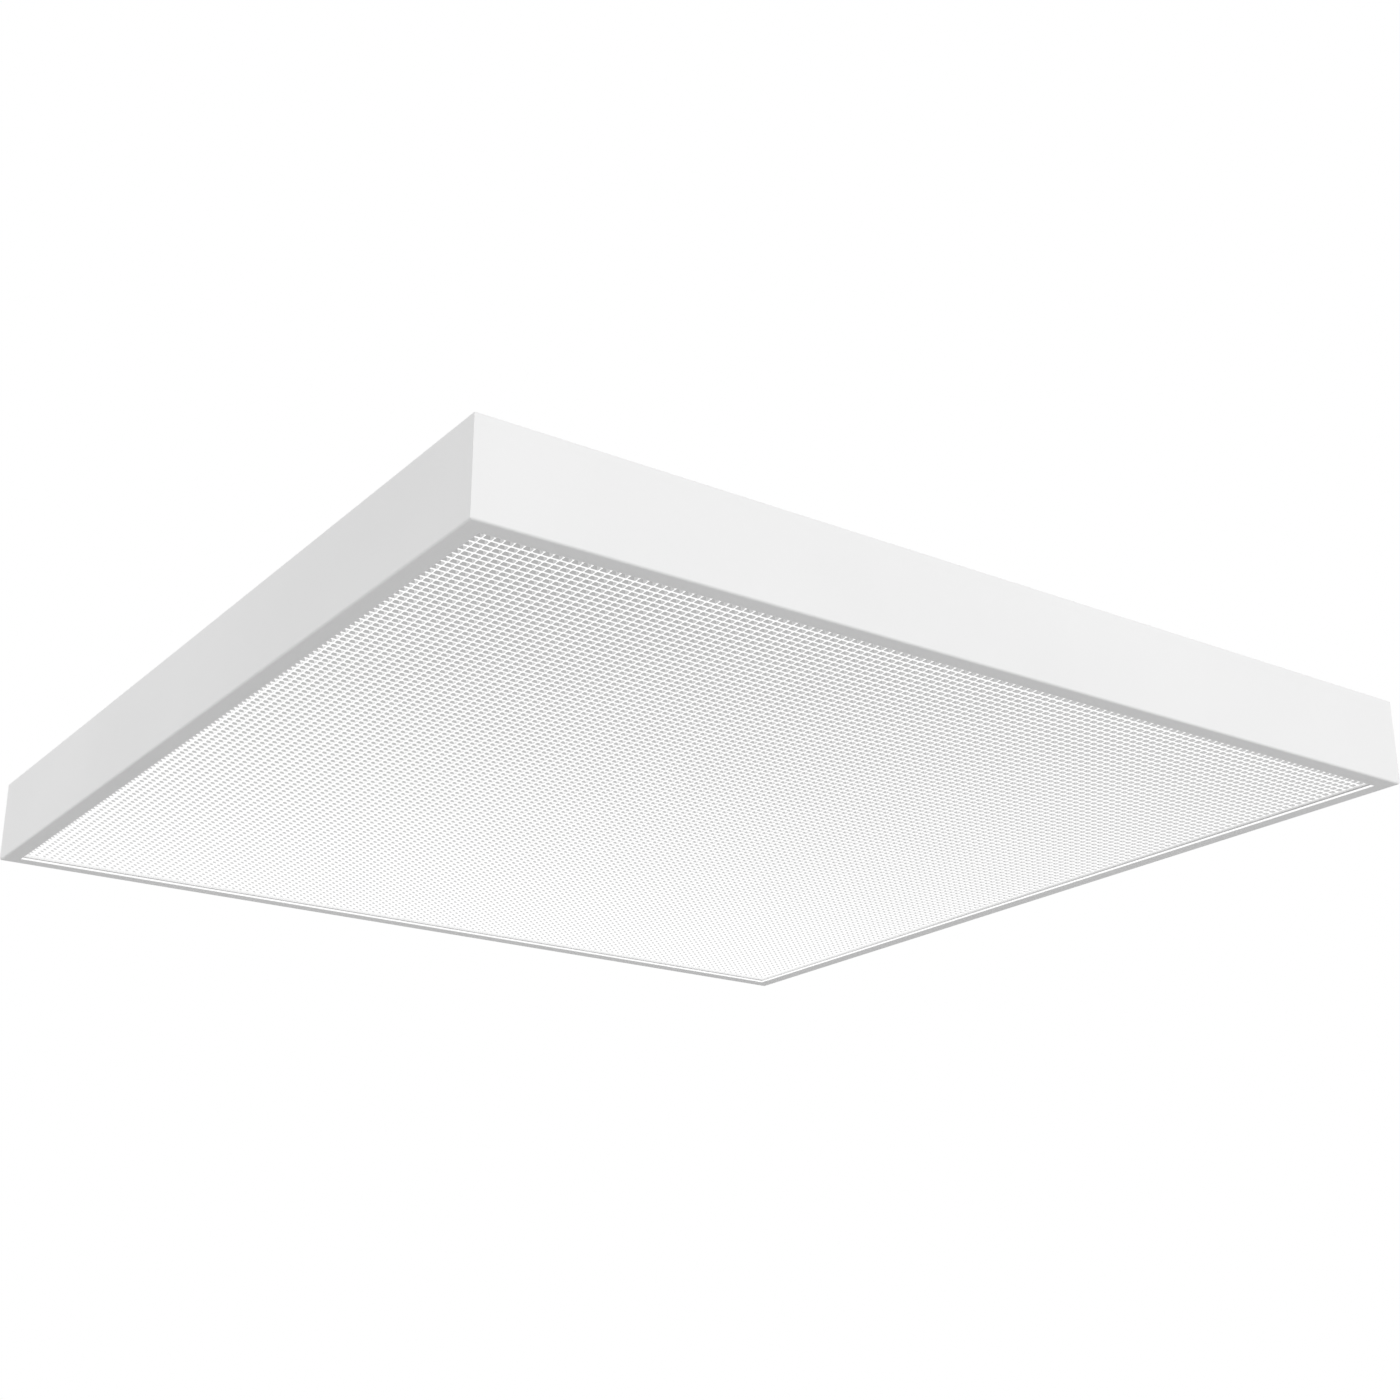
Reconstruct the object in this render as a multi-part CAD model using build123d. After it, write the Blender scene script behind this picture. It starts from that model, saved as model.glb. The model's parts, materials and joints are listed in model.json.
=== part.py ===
from build123d import *
from math import cos, radians, sin, tan
import os

# Square ceiling luminaire for a 600 mm grid, lens down. Millimetres.
# Origin: centre of the square, in the plane of the lip's underside. +Z points up to the ceiling,
# +Y to the back, where the wiring compartment is.

# ---------------------------------------------------------------- driving sizes
SIDE = 597.0            # outside of the square frame
HEIGHT = 50.0           # rail height
RAIL_SHEET = 1.2
BEND_RADIUS = 1.2       # outside bend between wall and lip
TOP_BEND_RADIUS = 0.6
LIP = 10.0              # width of the lip that shows round the lens
TOP_FLANGE = 14.0

GASKET_THICKNESS = 0.8
GASKET_WIDTH = 6.0
LENS_SIDE = 592.0
LENS_THICKNESS = 3.0
DIFFUSER_THICKNESS = 1.5

TRAY_SHEET = 0.8
TRAY_TOP = 26.8
TRAY_FOOT_INSIDE = 288.0    # half side where the sloped wall meets the foot
TRAY_TOP_HALF = 262.0

BRACKET_SHEET = 1.5
BRACKET_FOOT = 8.3
GUSSET_ARM = 49.0
HOLD_DOWN_LENGTH = 140.0

BOARD_LENGTH = 500.0
BOARD_WIDTH = 20.0
BOARD_THICKNESS = 1.6
BOARD_PITCH = 84.0
BOARD_COUNT = 6
LEDS_PER_BOARD = 20
LED_PITCH = 25.0
LED_SIZE = (3.5, 2.8, 0.7)
BOARD_RIVET_X = (-225.0, 0.0, 225.0)
CONNECTOR = (8.0, 9.0, 4.0)

PAN_SHEET = 0.8
PAN_HALF = 296.0
PAN_CORNER_RADIUS = 4.0
SCREW_INSET = 8.5
SCREW_ALONG = (-262.0, -55.0, 55.0, 262.0)
BEAD_Y = (-80.0, -170.0)
BEAD_LENGTH = 400.0
BEAD_WIDTH = 14.0
BEAD_RISE = 2.0
CEILING_SLOT_SPACING = 400.0
CEILING_SLOT_WIDTH = 6.5
CEILING_SLOT_LENGTH = 14.0
KNOCKOUTS = ((185.0, 54.0), (185.0, 114.0))
KNOCKOUT_RADIUS = 10.25
KNOCKOUT_GROOVE = 0.5

OPENING_X = (-150.0, 120.0)     # access opening over the wiring compartment
OPENING_Y = (29.0, 139.0)
OPENING_CORNER = 5.0
COVER_OVERLAP = 6.0
COVER_SHEET = 0.8
COVER_GAP = 0.2
HINGE_CENTRES_X = (-100.0, 70.0)
HINGE_Y = 150.0
KNUCKLE_RADIUS = 2.5
COVER_KNUCKLE_RADIUS = 2.3
COVER_KNUCKLE_LENGTH = 12.0
PAN_KNUCKLE_LENGTH = 8.0
KNUCKLE_GAP = 0.3
HINGE_PIN_RADIUS = 1.25
HINGE_CLEARANCE = 0.05
FINGER_ROLL_LENGTH = 44.0

LOOP_X = 245.0
LOOP_Y = 240.0
LOOP_WIRE = 1.5                 # wire radius
LOOP_WIDTH = 32.0
LOOP_DEPTH = 26.0
LOOP_CORNER = 5.0
SADDLE = (14.0, 8.0, 4.6)
LOOP_CLEARANCE = 0.08

GLAND = (-185.0, 84.0)
GLAND_THREAD = 9.9
GLAND_ACROSS_FLATS = 24.0
CABLE_BORE = 5.0

COMPARTMENT_Y = 84.0
DRIVER_CENTRE_X = 25.0
DRIVER_LENGTH = 150.0
DRIVER_WIDTH = 42.0
DRIVER_HEIGHT = 20.0
DRIVER_FOOT = 10.0
DRIVER_SHEET = 0.8
DRIVER_TERMINAL = 13.0
SELECTOR_TRAVEL = 4.0

TERMINAL_X = (-110.0, -84.0)
TERMINAL_WIDTH = 34.0
TERMINAL_HEIGHT = 16.0
POLE_PITCH = 10.0
BUTTON = (6.6, 5.0)
BUTTON_CLEARANCE = 0.2
BUTTON_PROUD = 2.4
BUTTON_TRAVEL = 1.6
LEAD_RADIUS = 1.1
LED_LEAD_RADIUS = 0.9
EARTH_STUD = (-66.0, 127.0)
LED_LEAD_DROP = (15.0, 27.0)    # from the driver's end, where the leads slope down through the tray

# ---------------------------------------------------------------- sizes that follow
HALF = SIDE / 2
WALL_INSIDE = HALF - RAIL_SHEET
FLANGE_UNDER = HEIGHT - RAIL_SHEET
LENS_Z = RAIL_SHEET + GASKET_THICKNESS
LENS_TOP = LENS_Z + LENS_THICKNESS
DIFFUSER_TOP = LENS_TOP + DIFFUSER_THICKNESS
FOOT_TOP = DIFFUSER_TOP + TRAY_SHEET
TRAY_UNDER = TRAY_TOP - TRAY_SHEET
BOARD_UNDER = TRAY_UNDER - BOARD_THICKNESS
BOARD_Y = [BOARD_PITCH * (i - (BOARD_COUNT - 1) / 2) for i in range(BOARD_COUNT)]
PAN_TOP = HEIGHT + PAN_SHEET
COVER_UNDER = PAN_TOP + COVER_GAP
HINGE_Z = COVER_UNDER + COVER_KNUCKLE_RADIUS
LOOP_Z = PAN_TOP + LOOP_WIRE + 0.3
SCREW_LINE = HALF - SCREW_INSET
DRIVER_X = (DRIVER_CENTRE_X - DRIVER_LENGTH / 2, DRIVER_CENTRE_X + DRIVER_LENGTH / 2)
DRIVER_TOP = TRAY_TOP + DRIVER_HEIGHT
TERMINAL_TOP = TRAY_TOP + TERMINAL_HEIGHT
POLES = [COMPARTMENT_Y + POLE_PITCH * i for i in (-1, 0, 1)]
TERMINAL_PORT_Z = TRAY_TOP + 6.0
JUMPER_Z = BOARD_UNDER - 2.0
DRIVER_IN_Z = TRAY_TOP + 10.0
DRIVER_OUT_Z = TRAY_TOP + TRAY_UNDER - JUMPER_Z     # so that the slope's middle is in the tray's hole
GROMMET = (DRIVER_X[1] + sum(LED_LEAD_DROP) / 2, COMPARTMENT_Y)
BUTTON_X = TERMINAL_X[1] - 8.0


# ---------------------------------------------------------------- helpers
def slab(x_range, y_range, z_range):
    """Box between the given limits."""
    (x0, x1), (y0, y1), (z0, z1) = x_range, y_range, z_range
    centre = Pos((x0 + x1) / 2, (y0 + y1) / 2, (z0 + z1) / 2)
    return centre * Box(x1 - x0, y1 - y0, z1 - z0)


def block(centre, size, z0):
    """Box of the given size, centred in plan, with its foot at z0."""
    return Pos(centre[0], centre[1], z0 + size[2] / 2) * Box(*size)


def post(centre, radius, z0, z1):
    """Upright cylinder."""
    return Pos(centre[0], centre[1], (z0 + z1) / 2) * Cylinder(radius, z1 - z0)


def rod_x(x_range, y, z, radius):
    """Cylinder along X."""
    length = x_range[1] - x_range[0]
    return Pos((x_range[0] + x_range[1]) / 2, y, z) * Rot(0, 90, 0) * Cylinder(radius, length)


def hex_post(centre, across_flats, z0, z1):
    """Upright hexagonal prism."""
    outline = RegularPolygon(across_flats / 2, 6, major_radius=False)
    return Pos(centre[0], centre[1], z0) * extrude(outline, z1 - z0)


def square_plate(half, z0, z1, corner=0.0):
    """Square plate centred on the luminaire's axis."""
    outline = RectangleRounded(2 * half, 2 * half, corner) if corner else Rectangle(2 * half, 2 * half)
    return Pos(0, 0, z0) * extrude(outline, z1 - z0)


def pan_head_screw(centre, under_head, head_radius, head_height, shank_radius, length):
    """Upright screw: a domed head with a cross slot, and its shank."""
    x, y = centre
    head = post(centre, head_radius, under_head, under_head + head_height)
    head = fillet(head.edges().sort_by(Axis.Z)[-1], head_height * 0.45)
    arm = head_radius * 1.2
    slot_z = under_head + head_height * 0.4
    for size in ((arm, 0.9, head_height), (0.9, arm, head_height)):
        head -= block((x, y), size, slot_z)
    return head + post(centre, shank_radius, under_head - length, under_head)


def tube(points, bends, radius):
    """Round tube along straight runs joined by tangent arcs."""
    path = FilletPolyline(*points, radius=bends)
    section = Plane(origin=path @ 0, z_dir=path % 0) * Circle(radius)
    return sweep(section, path=path)


def quarter_turns(shape):
    """The four copies of a front piece: front, right, back and left."""
    return [Rot(0, 0, 90 * turn) * shape for turn in range(4)]


def save(name, *solids):
    """Write one node, a single solid or a group of separate ones."""
    pieces = [solid for shape in solids for solid in shape.solids()]
    shape = pieces[0] if len(pieces) == 1 else Compound(children=pieces)
    shape.label = name
    export_step(shape, f"parts/{name}.step")


# ---------------------------------------------------------------- frame
def screw_places():
    """Centres of the perimeter screws, four along each side."""
    front = [(along, -SCREW_LINE) for along in SCREW_ALONG]
    places = []
    for turn in range(4):
        c, s = round(cos(radians(90 * turn))), round(sin(radians(90 * turn)))
        places += [(c * x - s * y, s * x + c * y) for x, y in front]
    return places


def frame_rail():
    """Front rail: lip, wall and top flange of one folded sheet, mitred at both ends."""
    outside, inside = -HALF, -WALL_INSIDE
    profile = make_face(Polyline(
        (outside, 0), (outside + LIP, 0), (outside + LIP, RAIL_SHEET), (inside, RAIL_SHEET),
        (inside, FLANGE_UNDER), (outside + TOP_FLANGE, FLANGE_UNDER),
        (outside + TOP_FLANGE, HEIGHT), (outside, HEIGHT), close=True))
    outer = profile.vertices().group_by(Axis.X)[0].sort_by(Axis.Y)
    profile = fillet(outer[0], BEND_RADIUS)
    outer = profile.vertices().filter_by(lambda v: abs(v.Y - HEIGHT) < 0.01).sort_by(Axis.X)
    profile = fillet(outer[0], TOP_BEND_RADIUS)
    rail = extrude(Plane.YZ.offset(-HALF) * profile, SIDE)
    reach = TOP_FLANGE + 1.0
    mitre = make_face(Polyline(
        (-HALF, -HALF), (HALF, -HALF), (HALF - reach, -HALF + reach),
        (-HALF + reach, -HALF + reach), close=True))
    rail = rail & extrude(mitre, HEIGHT)
    for along in SCREW_ALONG:
        rail -= post((along, -SCREW_LINE), 2.15, FLANGE_UNDER - 1, HEIGHT + 1)
    return rail


def bracket(x_range):
    """Clip of folded sheet under the flange of the front rail, whose foot holds the tray down."""
    wall = -WALL_INSIDE
    top_z = FLANGE_UNDER - BRACKET_SHEET
    top = slab(x_range, (wall, wall + 13.0), (top_z, FLANGE_UNDER))
    web = slab(x_range, (wall, wall + BRACKET_SHEET), (FOOT_TOP, FLANGE_UNDER))
    foot = slab(x_range, (wall, wall + BRACKET_FOOT), (FOOT_TOP, FOOT_TOP + BRACKET_SHEET))
    return top + web + foot


def drill_for_screws(shape):
    """Clearance for the perimeter screws that pass through this piece."""
    box = shape.bounding_box()
    for x, y in screw_places():
        if box.min.X < x < box.max.X and box.min.Y < y < box.max.Y:
            shape -= post((x, y), 2.1, FLANGE_UNDER - 2 * BRACKET_SHEET, PAN_TOP + 1)
    return shape


def corner_gusset():
    """Front left corner: two folded arms joined at the corner of the frame."""
    inner = -WALL_INSIDE
    arm = bracket((inner, inner + GUSSET_ARM))
    other = mirror(arm, Plane(origin=(0, 0, 0), z_dir=(1, -1, 0)))
    gusset = arm + other
    web = make_face(Polyline((inner, inner), (inner + 32, inner), (inner, inner + 32), close=True))
    gusset += Pos(0, 0, FLANGE_UNDER - BRACKET_SHEET) * extrude(web, BRACKET_SHEET)
    return drill_for_screws(gusset)


def frame_parts():
    """Rails, corner gussets, hold-down brackets and the perimeter screws."""
    for name, rail in zip(("front", "right", "back", "left"), quarter_turns(frame_rail())):
        save(f"frame_rail_{name}", rail)
    corners = ("front_left", "front_right", "back_right", "back_left")
    for name, gusset in zip(corners, quarter_turns(corner_gusset())):
        save(f"corner_gusset_{name}", gusset)
    middle = drill_for_screws(bracket((-HOLD_DOWN_LENGTH / 2, HOLD_DOWN_LENGTH / 2)))
    for name, clip in zip(("front", "right", "back", "left"), quarter_turns(middle)):
        save(f"hold_down_bracket_{name}", clip)
    save("pan_screws", *[pan_head_screw(place, PAN_TOP, 3.8, 2.4, 1.95, 7.0) for place in screw_places()])


# ---------------------------------------------------------------- lens and light chamber
def square_ring(outer_half, inner_half, z0, z1):
    """Flat square frame."""
    return square_plate(outer_half, z0, z1) - square_plate(inner_half, z0 - 1, z1 + 1)


def optical_parts():
    """Gasket, lens and diffuser, laid one on the other on the lip."""
    gasket_outer = WALL_INSIDE - 1.3
    save("lens_gasket", square_ring(gasket_outer, gasket_outer - GASKET_WIDTH, RAIL_SHEET, LENS_Z))
    save("prismatic_lens", square_plate(LENS_SIDE / 2, LENS_Z, LENS_TOP, 1.0))
    save("diffuser_sheet", square_plate(LENS_SIDE / 2, LENS_TOP, DIFFUSER_TOP, 1.0))


def frustum(bottom_half, top_half, z0, z1):
    """Square frustum."""
    bottom = Pos(0, 0, z0) * Rectangle(2 * bottom_half, 2 * bottom_half)
    top = Pos(0, 0, z1) * Rectangle(2 * top_half, 2 * top_half)
    return loft([bottom, top])


def led_tray():
    """White pan: flat top, sloped sides and a foot that lies on the diffuser."""
    run = (TRAY_FOOT_INSIDE - TRAY_TOP_HALF) / (TRAY_UNDER - DIFFUSER_TOP)
    outer = frustum(TRAY_FOOT_INSIDE + run * TRAY_SHEET, TRAY_TOP_HALF, DIFFUSER_TOP, TRAY_TOP)
    inner = frustum(TRAY_FOOT_INSIDE, TRAY_TOP_HALF, DIFFUSER_TOP, TRAY_UNDER)
    tray = outer - inner + square_ring(LENS_SIDE / 2, TRAY_FOOT_INSIDE, DIFFUSER_TOP, FOOT_TOP)
    for x in BOARD_RIVET_X:
        for y in BOARD_Y:
            tray -= post((x, y), 1.7, TRAY_UNDER - 1, TRAY_TOP + 1)
    for place in driver_screw_places() + terminal_screw_places():
        tray -= post(place, 1.6, TRAY_UNDER - 1, TRAY_TOP + 1)
    return tray - post(GROMMET, 6.5, TRAY_UNDER - 1, TRAY_TOP + 1)


def led_board(y):
    """Aluminium circuit board with its rivet holes."""
    board = slab((-BOARD_LENGTH / 2, BOARD_LENGTH / 2), (y - BOARD_WIDTH / 2, y + BOARD_WIDTH / 2),
                 (BOARD_UNDER, TRAY_UNDER))
    for x in BOARD_RIVET_X:
        board -= post((x, y), 1.7, BOARD_UNDER - 1, TRAY_UNDER + 1)
    return board


def board_rivet(x, y):
    """Push rivet: head under the board, shank through board and tray, barb above."""
    head = post((x, y), 3.2, BOARD_UNDER - 1.0, BOARD_UNDER)
    shank = post((x, y), 1.5, BOARD_UNDER, TRAY_TOP + 1.6)
    barb = post((x, y), 2.1, TRAY_TOP, TRAY_TOP + 0.9)
    return head + shank + barb


def light_source_parts():
    """Tray, boards, their light sources, connectors, rivets and the jumpers between them."""
    save("led_tray", led_tray())
    for number, y in enumerate(BOARD_Y, start=1):
        save(f"led_board_{number}", led_board(y))
    led_x = [LED_PITCH * (i - (LEDS_PER_BOARD - 1) / 2) for i in range(LEDS_PER_BOARD)]
    save("led_packages", *[block((x, y), LED_SIZE, BOARD_UNDER - LED_SIZE[2]) for x in led_x for y in BOARD_Y])
    length, width, height = CONNECTOR
    end_x = (BOARD_LENGTH - length) / 2
    connectors = [block((sign * end_x, y), CONNECTOR, BOARD_UNDER - height) for sign in (-1, 1) for y in BOARD_Y]
    feed_x, feed_y = feed_connector_face()
    connectors.append(block((feed_x, feed_y - 3.5), (10.0, 7.0, height), BOARD_UNDER - height))
    save("board_connectors", *connectors)
    save("board_rivets", *[board_rivet(x, y) for x in BOARD_RIVET_X for y in BOARD_Y])
    jumpers = []
    for number, (y0, y1) in enumerate(zip(BOARD_Y, BOARD_Y[1:])):
        side = 1 if number % 2 == 0 else -1
        x0, x1 = side * BOARD_LENGTH / 2, side * (BOARD_LENGTH / 2 + 9.0)
        points = [(x0, y0, JUMPER_Z), (x1, y0, JUMPER_Z), (x1, y1, JUMPER_Z), (x0, y1, JUMPER_Z)]
        jumpers.append(tube(points, 6.0, 1.0))
    save("board_jumpers", *jumpers)


# ---------------------------------------------------------------- back pan and wiring cover
def knuckle(x_range, radius, foot_y):
    """Rolled hinge knuckle along X, with the tab that joins it to its sheet."""
    roll = rod_x(x_range, HINGE_Y, HINGE_Z, radius)
    low = HINGE_Z - radius
    return roll + slab(x_range, (min(HINGE_Y, foot_y), max(HINGE_Y, foot_y)), (low, low + COVER_SHEET))


def saddle(place):
    """Pressed saddle on the pan that holds the straight side of a hanger loop."""
    x, y = place
    body = block((x, y), SADDLE, PAN_TOP)
    body = fillet(body.edges().filter_by(Axis.X).group_by(Axis.Z)[-1], 1.8)
    bore_range = (x - SADDLE[0], x + SADDLE[0])
    return body - rod_x(bore_range, y, LOOP_Z, LOOP_WIRE + LOOP_CLEARANCE)


def bead(y):
    """Stiffening bead pressed upwards: the outside shape and the hollow under it."""
    half_length, half_width = BEAD_LENGTH / 2, BEAD_WIDTH / 2
    outside = Pos(0, y, HEIGHT) * Rectangle(2 * half_length, 2 * half_width)
    crown = Pos(0, y, PAN_TOP + BEAD_RISE) * Rectangle(2 * half_length - 8, 2 * half_width - 8)
    under = Pos(0, y, HEIGHT) * Rectangle(2 * half_length - 2, 2 * half_width - 2)
    roof = Pos(0, y, HEIGHT + BEAD_RISE) * Rectangle(2 * half_length - 9, 2 * half_width - 9)
    return loft([outside, crown]), loft([under, roof])


def back_pan():
    """Top sheet with its opening, hinge knuckles, saddles, beads, slots and knock-outs."""
    pan = square_plate(PAN_HALF, HEIGHT, PAN_TOP, PAN_CORNER_RADIUS)
    for y in BEAD_Y:
        outside, hollow = bead(y)
        pan = pan + outside - hollow
    width = OPENING_X[1] - OPENING_X[0]
    depth = OPENING_Y[1] - OPENING_Y[0]
    opening = extrude(RectangleRounded(width, depth, OPENING_CORNER), 3 * PAN_SHEET)
    pan -= Pos(sum(OPENING_X) / 2, sum(OPENING_Y) / 2, HEIGHT - PAN_SHEET) * opening
    slot = extrude(SlotOverall(CEILING_SLOT_LENGTH, CEILING_SLOT_WIDTH), 3 * PAN_SHEET)
    for place in corner_places(CEILING_SLOT_SPACING / 2, CEILING_SLOT_SPACING / 2):
        pan -= Pos(*place, HEIGHT - PAN_SHEET) * slot
    for place in screw_places():
        pan -= post(place, 2.15, HEIGHT - 1, PAN_TOP + 1)
    pan -= post(GLAND, GLAND_THREAD + 0.3, HEIGHT - 1, PAN_TOP + 1)
    for place in KNOCKOUTS:
        groove = post(place, KNOCKOUT_RADIUS, PAN_TOP - KNOCKOUT_GROOVE, PAN_TOP + 1)
        groove -= post(place, KNOCKOUT_RADIUS - 0.6, PAN_TOP - 1, PAN_TOP + 2)
        pan -= groove
    reach = COVER_KNUCKLE_LENGTH / 2 + KNUCKLE_GAP
    for centre in HINGE_CENTRES_X:
        for x_range in ((centre - reach - PAN_KNUCKLE_LENGTH, centre - reach),
                        (centre + reach, centre + reach + PAN_KNUCKLE_LENGTH)):
            ear = knuckle(x_range, KNUCKLE_RADIUS, HINGE_Y + 5)
            pan += ear - rod_x(x_range, HINGE_Y, HINGE_Z, HINGE_PIN_RADIUS + 0.02)
    for place in corner_places(LOOP_X, LOOP_Y):
        pan += saddle(place)
    return pan


def corner_places(x, y):
    """Four places, one in each quarter: front left, front right, back right, back left."""
    return [(-x, -y), (x, -y), (x, y), (-x, y)]


def wiring_cover():
    """Hinged plate over the opening, with a rolled finger edge at the front."""
    x_range = (OPENING_X[0] - COVER_OVERLAP, OPENING_X[1] + COVER_OVERLAP)
    y_range = (OPENING_Y[0] - COVER_OVERLAP, OPENING_Y[1] + COVER_OVERLAP)
    top = COVER_UNDER + COVER_SHEET
    width, depth = x_range[1] - x_range[0], y_range[1] - y_range[0]
    plate = extrude(RectangleRounded(width, depth, OPENING_CORNER), COVER_SHEET)
    cover = Pos(sum(x_range) / 2, sum(y_range) / 2, COVER_UNDER) * plate
    for x in (x_range[0] + 26, x_range[1] - 26):
        rib = slab((x - 4, x + 4), (y_range[0] + 16, y_range[1] - 16), (top, top + 1.0))
        cover += chamfer(rib.edges().group_by(Axis.Z)[-1], 0.9)
    middle = sum(x_range) / 2
    tab = (middle - FINGER_ROLL_LENGTH / 2, middle + FINGER_ROLL_LENGTH / 2)
    cover += slab(tab, (y_range[0] - 6, y_range[0] + 1), (COVER_UNDER, top))
    cover += rod_x(tab, y_range[0] - 6, COVER_UNDER + 1.5, 1.5)
    for centre in HINGE_CENTRES_X:
        reach = COVER_KNUCKLE_LENGTH / 2
        span = (centre - reach, centre + reach)
        cover += knuckle(span, COVER_KNUCKLE_RADIUS, y_range[1] - 1)
        cover -= rod_x(span, HINGE_Y, HINGE_Z, HINGE_PIN_RADIUS + HINGE_CLEARANCE)
    return cover


def hinge_pin(centre):
    """Pin through one hinge, with a flat head at each end."""
    reach = COVER_KNUCKLE_LENGTH / 2 + KNUCKLE_GAP + PAN_KNUCKLE_LENGTH
    pin = rod_x((centre - reach, centre + reach), HINGE_Y, HINGE_Z, HINGE_PIN_RADIUS)
    for x in (centre - reach - 1.0, centre + reach):
        pin += rod_x((x, x + 1.0), HINGE_Y, HINGE_Z, 2.0)
    return pin


def hanger_loop(place):
    """Closed rectangle of round wire, lying flat, with one long side in its saddle."""
    x, y = place
    inward = -1 if y > 0 else 1
    depth = inward * LOOP_DEPTH
    half = LOOP_WIDTH / 2
    half_path = [(x, y, LOOP_Z), (x + half, y, LOOP_Z), (x + half, y + depth, LOOP_Z), (x, y + depth, LOOP_Z)]
    right = tube(half_path, LOOP_CORNER, LOOP_WIRE)
    left = mirror(right, Plane(origin=(x, 0, 0), z_dir=(1, 0, 0)))
    return right + left


def back_parts():
    """Back pan, wiring cover, hinge pins and hanger loops."""
    save("back_pan", back_pan())
    save("wiring_cover", wiring_cover())
    save("cover_hinge_pins", *[hinge_pin(centre) for centre in HINGE_CENTRES_X])
    names = ("front_left", "front_right", "back_right", "back_left")
    for name, place in zip(names, corner_places(LOOP_X, LOOP_Y)):
        save(f"hanger_loop_{name}", hanger_loop(place))


# ---------------------------------------------------------------- cable gland
def gland_parts():
    """Gland through the pan: body, locknut inside, sealing ring and dome nut."""
    flange_top = PAN_TOP + 4.2
    sleeve_top = flange_top + 6.0
    body = hex_post(GLAND, GLAND_ACROSS_FLATS, PAN_TOP, flange_top)
    body += post(GLAND, GLAND_THREAD, HEIGHT - 8.0, PAN_TOP)
    body += post(GLAND, 8.5, flange_top, sleeve_top)
    save("gland_body", body - post(GLAND, 6.5, HEIGHT - 10.0, sleeve_top + 1))
    locknut = hex_post(GLAND, GLAND_ACROSS_FLATS, HEIGHT - 5.0, HEIGHT)
    save("gland_locknut", locknut - post(GLAND, GLAND_THREAD + 0.1, HEIGHT - 6.0, HEIGHT + 1))
    seal = post(GLAND, 6.4, PAN_TOP + 1.0, sleeve_top)
    save("gland_seal", seal - post(GLAND, CABLE_BORE, PAN_TOP, sleeve_top + 1))
    nut_top = sleeve_top + 4.5
    nut = hex_post(GLAND, GLAND_ACROSS_FLATS, flange_top + 0.3, sleeve_top)
    dome = Pos(GLAND[0], GLAND[1], sleeve_top + 2.25) * Cone(11.5, 8.0, 4.5)
    nut = nut + dome - post(GLAND, 8.7, flange_top, sleeve_top + 0.5)
    save("gland_dome_nut", nut - post(GLAND, CABLE_BORE + 0.3, sleeve_top, nut_top + 1))


# ---------------------------------------------------------------- driver
def driver_screw_places():
    """Centres of the two screws through the driver's feet, at opposite corners."""
    offset = DRIVER_FOOT / 2
    side = DRIVER_WIDTH / 3
    return [(DRIVER_X[0] - offset, COMPARTMENT_Y - side), (DRIVER_X[1] + offset, COMPARTMENT_Y + side)]


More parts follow.
